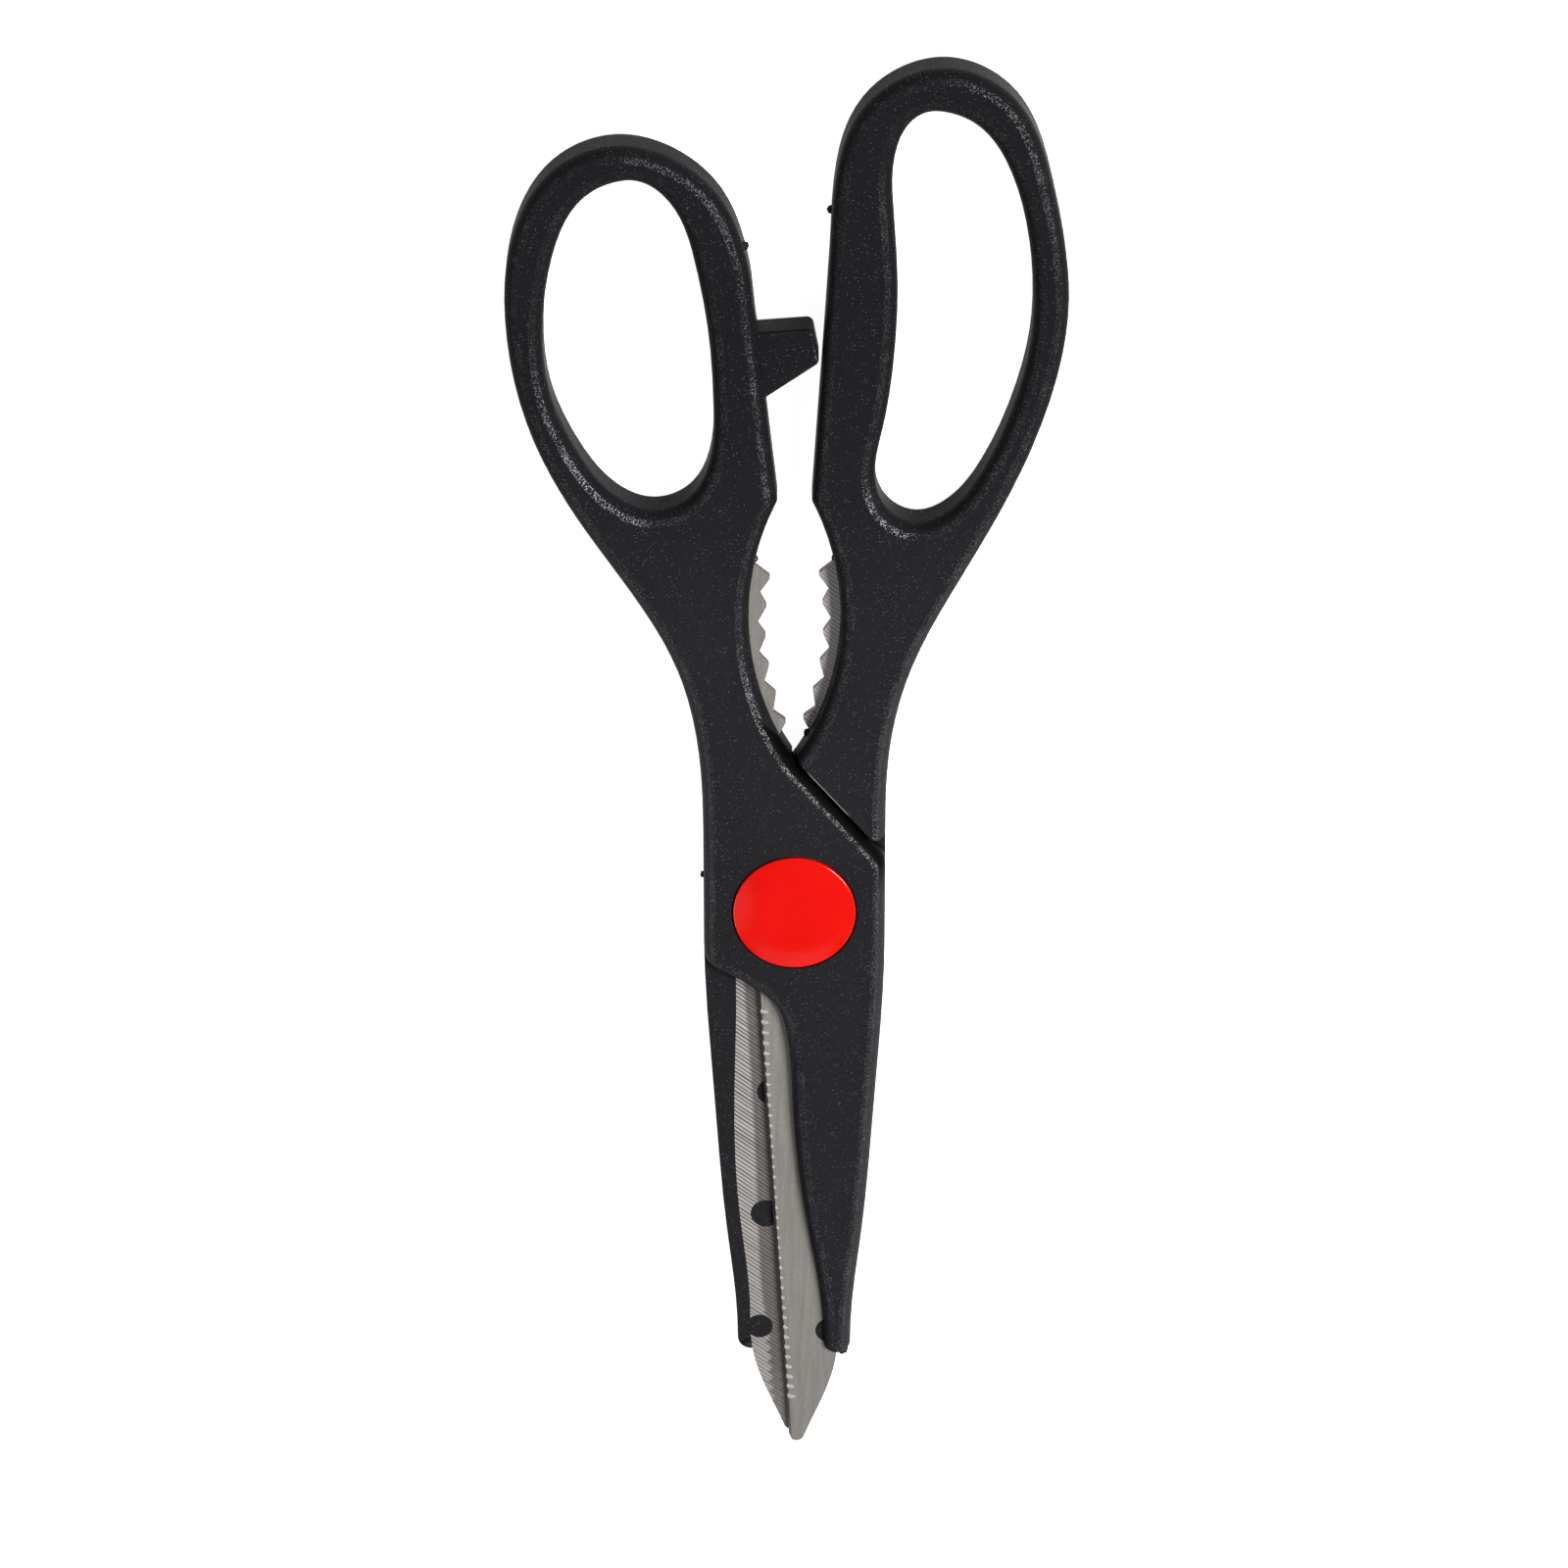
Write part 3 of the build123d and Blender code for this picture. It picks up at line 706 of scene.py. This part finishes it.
front_steel = blade_steel("front_blade_steel", -1.0, GRIND_SLANT, shadow_strip=False)
rear_steel = blade_steel("rear_blade_steel", 1.0, -GRIND_SLANT, shadow_strip=True)
print("made", front_steel.name, "and", rear_steel.name)

# %% [markdown]
# ## Red cap and turned steel
#
# The cap is polished ABS: a saturated red under a hard clear shine, with only the faintest
# waviness in the mirror image. A flat red without that waviness would look like a sticker. The
# rivet and washers sit under it and are plain turned steel, so their lines run round the pivot.

# %% Make the red plastic
RED_DEEP = (0.62, 0.0035, 0.0018, 1)
RED_PALE = (0.68, 0.006, 0.003, 1)
CAP_CLOUDS_PER_METRE = 110
PEEL_PER_METRE = 900
PEEL_DEPTH = 0.00001
CAP_SCRATCHES_PER_METRE = 2600
SCRATCH_STRETCH = 50
SCRATCH_SLANT = 0.7
SCRATCH_RANGE = (0.55, 0.75)
CAP_ROUGHNESS = (0.14, 0.22)


def red_plastic():
    """Glossy red with slow clouds, fine scratches and a faint orange peel."""
    material, tree, shader = start_material("gloss_red_plastic", roughness=0.16, specular=0.4)
    place = object_place(tree)
    scratch_place = object_place(tree, turn=SCRATCH_SLANT, stretch=(SCRATCH_STRETCH, 1, 1))
    cloud = noise(tree, place, CAP_CLOUDS_PER_METRE, detail=3.0)
    orange_peel = noise(tree, place, PEEL_PER_METRE, detail=1.0)
    scratches = noise(tree, scratch_place, CAP_SCRATCHES_PER_METRE, detail=2.0)
    red = mixed_colour(tree, ranged(tree, cloud, *CLOUD_RANGE), RED_DEEP, RED_PALE)
    tree.links.new(red, shader.inputs["Base Color"])
    tree.links.new(ranged(tree, scratches, *SCRATCH_RANGE, *CAP_ROUGHNESS), shader.inputs["Roughness"])
    tree.links.new(bump(tree, orange_peel, PEEL_DEPTH, strength=0.25), shader.inputs["Normal"])
    return material


gloss_red = red_plastic()
print("made", gloss_red.name)

# %% Make the rivet's steel
TURNED_DEEP = (0.42, 0.42, 0.42, 1)
TURNED_PALE = (0.56, 0.56, 0.55, 1)
RING_SCALE = 900
RING_WAVER = 0.6
RING_DEPTH = 0.00001


def turned_steel():
    """Plain steel with fine rings round the pivot."""
    material, tree, shader = start_material("turned_rivet_steel", roughness=0.35, metallic=1.0)
    source = add_node(tree, "ShaderNodeTexCoord")
    rings = add_node(tree, "ShaderNodeTexWave", {"wave_type": "RINGS", "rings_direction": "Z"},
                     Vector=source.outputs["Object"])
    rings.inputs["Scale"].default_value = RING_SCALE
    rings.inputs["Distortion"].default_value = RING_WAVER
    ring = rings.outputs["Fac"]
    tree.links.new(mixed_colour(tree, ring, TURNED_DEEP, TURNED_PALE), shader.inputs["Base Color"])
    tree.links.new(bump(tree, ring, RING_DEPTH, strength=0.5), shader.inputs["Normal"])
    return material


rivet_steel = turned_steel()
print("made", rivet_steel.name)

# %% [markdown]
# ## Every solid gets its finish
#
# Five finishes cover all nine solids. A table that names each solid beside its finish is longer
# than a rule by name would be, but a reader sees at once what wears what.

# %% Give every solid its finish
FINISHES = {
    "front_blade": front_steel,
    "rear_blade": rear_steel,
    "front_handle": moulded_black,
    "rear_handle": moulded_black,
    "pivot_rivet": rivet_steel,
    "spring_washer": rivet_steel,
    "flat_washer": rivet_steel,
    "front_cap": gloss_red,
    "rear_cap": gloss_red,
}
for name, finish in FINISHES.items():
    for slot in nodes[name].material_slots:
        slot.material = finish
    print(name, "wears", finish.name)

# %% [markdown]
# ## Burrs on the parting line
#
# Where the two halves of a mould close, a little plastic squeezes out, and cheap shears are not
# trimmed. Such nibs stand on the loops, in the jaw, at the hub and at the ends of the sheaths.
# Each one here is a small ball whose points are pushed about by a seeded random number. Its
# centre lies on the nearest point of the handle's wall, so half of it is sunk in the plastic and
# it grows out of the wall. It sits a little on its own half's side of the plane where the halves
# meet, so it clears the other half when the shears open.

# %% Find the wall that a burr grows from
BURR_LIFT = {"front_half": 0.0006, "rear_half": -0.0006}
bpy.context.view_layer.update()


def nearest_wall(node_name, body, x, y):
    """The nearest point of a solid's surface, just on its own side of the plane between halves."""
    place = Vector((x, y, MATING_HEIGHT + BURR_LIFT[body]))
    return nodes[node_name].closest_point_on_mesh(place)[1]


print("a wall point beside the small loop:", nearest_wall("front_handle", "front_half", -0.0071, 0.1039))

# %% Grow the burrs
BURRS = (
    ("small_loop_burr", "front_handle", "front_half", (-0.0071, 0.1039), 0.00068),
    ("front_jaw_burr", "front_handle", "front_half", (-0.0051, 0.0556), 0.00057),
    ("front_sheath_burr", "front_handle", "front_half", (0.0078, -0.0771), 0.00084),
    ("large_loop_burr", "rear_handle", "rear_half", (0.0052, 0.1088), 0.00068),
    ("rear_jaw_burr", "rear_handle", "rear_half", (0.0054, 0.0553), 0.00054),
    ("vee_burr", "rear_handle", "rear_half", (0.0019, 0.0275), 0.00061),
    ("hub_burr", "rear_handle", "rear_half", (-0.0136, 0.0043), 0.00054),
    ("rear_sheath_burr", "rear_handle", "rear_half", (-0.0071, -0.0757), 0.00074),
)
LUMP_RANGE = (0.75, 1.12)
BURR_FLATNESS = 0.8
random.seed(7)


def add_burr(name, node_name, body, place, radius):
    """A lumpy nib of plastic, sunk to its middle in the wall of its handle."""
    shape = bmesh.new()
    bmesh.ops.create_icosphere(shape, subdivisions=3, radius=radius)
    for vertex in shape.verts:
        vertex.co *= random.uniform(*LUMP_RANGE)
        vertex.co.z *= BURR_FLATNESS
    mesh = bpy.data.meshes.new(name)
    shape.to_mesh(mesh)
    shape.free()
    mesh.polygons.foreach_set("use_smooth", [True] * len(mesh.polygons))
    mesh.materials.append(moulded_black)
    burr = bpy.data.objects.new(name, mesh)
    burr.location = nearest_wall(node_name, body, *place)
    bpy.context.scene.collection.objects.link(burr)
    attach(burr, body)
    return burr


for row in BURRS:
    print(row[0], "sits at", [round(c * 1000, 1) for c in add_burr(*row).location], "mm")

# %% [markdown]
# ## Floor
#
# The shears lie on a white table that shows neither an edge nor a shadow's rim. A lit sheet alone
# turns grey towards its far side, so this one also glows by itself, almost up to white. It is
# large enough to fill the frame from any side.

# %% Lay the floor
FLOOR_HALF = 3.0
FLOOR_WHITE = (0.85, 0.85, 0.85, 1)
FLOOR_GLOW = 0.93
FLOOR_CORNERS = [(-FLOOR_HALF, -FLOOR_HALF, 0), (FLOOR_HALF, -FLOOR_HALF, 0),
                 (FLOOR_HALF, FLOOR_HALF, 0), (-FLOOR_HALF, FLOOR_HALF, 0)]
floor_mesh = bpy.data.meshes.new("pale_floor")
floor_mesh.from_pydata(FLOOR_CORNERS, [], [(0, 1, 2, 3)])
floor = bpy.data.objects.new("pale_floor", floor_mesh)
bpy.context.scene.collection.objects.link(floor)
floor_material, _, floor_shader = start_material("pale_floor", roughness=0.9, specular=0.1)
floor_shader.inputs["Base Color"].default_value = FLOOR_WHITE
floor_shader.inputs["Emission Color"].default_value = (1, 1, 1, 1)
floor_shader.inputs["Emission Strength"].default_value = FLOOR_GLOW
floor_mesh.materials.append(floor_material)
print("floor is", 2 * FLOOR_HALF, "m wide")

# %% [markdown]
# ## Room
#
# The flat faces of the shears mirror the part of the room beyond the blades' tips. An evenly pale
# room would turn the black plastic grey, so the room is dimmest there and paler everywhere else.
# One direction and the angle to it are enough for that, without any picture of a studio.

# %% Make the room round the table
DIM_AXIS = Vector((0, -0.435, 0.90)).normalized()
DIM_NEARNESS = (0.35, 0.95)
ROOM_STRENGTH = 0.22
DIM_STRENGTH = 0.075
world = bpy.data.worlds.new("studio")
world.use_nodes = True
room = world.node_tree
direction = add_node(room, "ShaderNodeTexCoord").outputs["Generated"]
nearness = add_node(room, "ShaderNodeVectorMath", {"operation": "DOT_PRODUCT"}, i0=direction, i1=DIM_AXIS)
strength = ranged(room, nearness.outputs["Value"], *DIM_NEARNESS, ROOM_STRENGTH, DIM_STRENGTH)
background = room.nodes["Background"]
background.inputs["Color"].default_value = (1, 1, 1, 1)
room.links.new(strength, background.inputs["Strength"])
bpy.context.scene.world = world
print("the room is dimmest towards", [round(c, 2) for c in DIM_AXIS])

# %% [markdown]
# ## Soft panels
#
# A studio lights such a product with large soft panels, because a small lamp would burn one hard
# spot into the cap and the steel. The strong key panel stands at the right. Two weak cards at the
# left give the cap and the rims a paler side, and a third beyond the tips keeps the front blade
# from going dark. All of them look at the spot on the table right below the pivot.

# %% Hang the soft panels
PANELS = (
    ("key_panel", (0.76, 0.17, 0.93), 0.42, 0.50, 22),
    ("left_card", (-0.62, -0.45, 1.00), 0.75, 0.75, 0.8),
    ("low_card", (-0.92, -0.45, 0.45), 0.60, 0.45, 3.4),
    ("tip_card", (0.0, -1.00, 1.10), 0.50, 0.35, 0.25),
)


def add_panel(name, place, width, height, watts):
    """A soft rectangular light that looks from its place towards the spot below the pivot."""
    light = bpy.data.lights.new(name, "AREA")
    light.shape = "RECTANGLE"
    light.size = width
    light.size_y = height
    light.energy = watts
    panel = bpy.data.objects.new(name, light)
    panel.location = place
    panel.rotation_euler = (-Vector(place)).to_track_quat("-Z", "Y").to_euler()
    bpy.context.scene.collection.objects.link(panel)


for row in PANELS:
    add_panel(*row)
    print(row[0], "stands", round(Vector(row[1]).length, 2), "m away with", row[4], "W")

# %% [markdown]
# ## Camera
#
# The photograph was taken from the loops' side, about 64 degrees above the table, with a long
# lens. A long lens from almost a metre away keeps both grips the same size, as they are in the
# picture, where a short one close by would swell them.

# %% Place the camera
CAMERA_TILT = math.radians(25.8)
CAMERA_DROP = math.radians(0.09)
CAMERA_DISTANCE = 0.930
CAMERA_AIM = Vector((-0.00153, 0.0210, MATING_HEIGHT))
SENSOR_WIDTH = 36.0
FOCAL_SHARE = 4.048
camera_data = bpy.data.cameras.new("camera")
camera_data.sensor_width = SENSOR_WIDTH
camera_data.lens = SENSOR_WIDTH * FOCAL_SHARE
camera = bpy.data.objects.new("camera", camera_data)
towards_camera = Vector((0, math.sin(CAMERA_TILT), math.cos(CAMERA_TILT)))
camera.location = CAMERA_AIM + towards_camera * CAMERA_DISTANCE
camera.rotation_euler = (-(CAMERA_TILT + CAMERA_DROP), 0, 0)
bpy.context.scene.collection.objects.link(camera)
bpy.context.scene.camera = camera
bpy.context.scene.view_settings.view_transform = "Standard"
print("camera at", [round(c, 4) for c in camera.location], "with a", round(camera_data.lens), "mm lens")
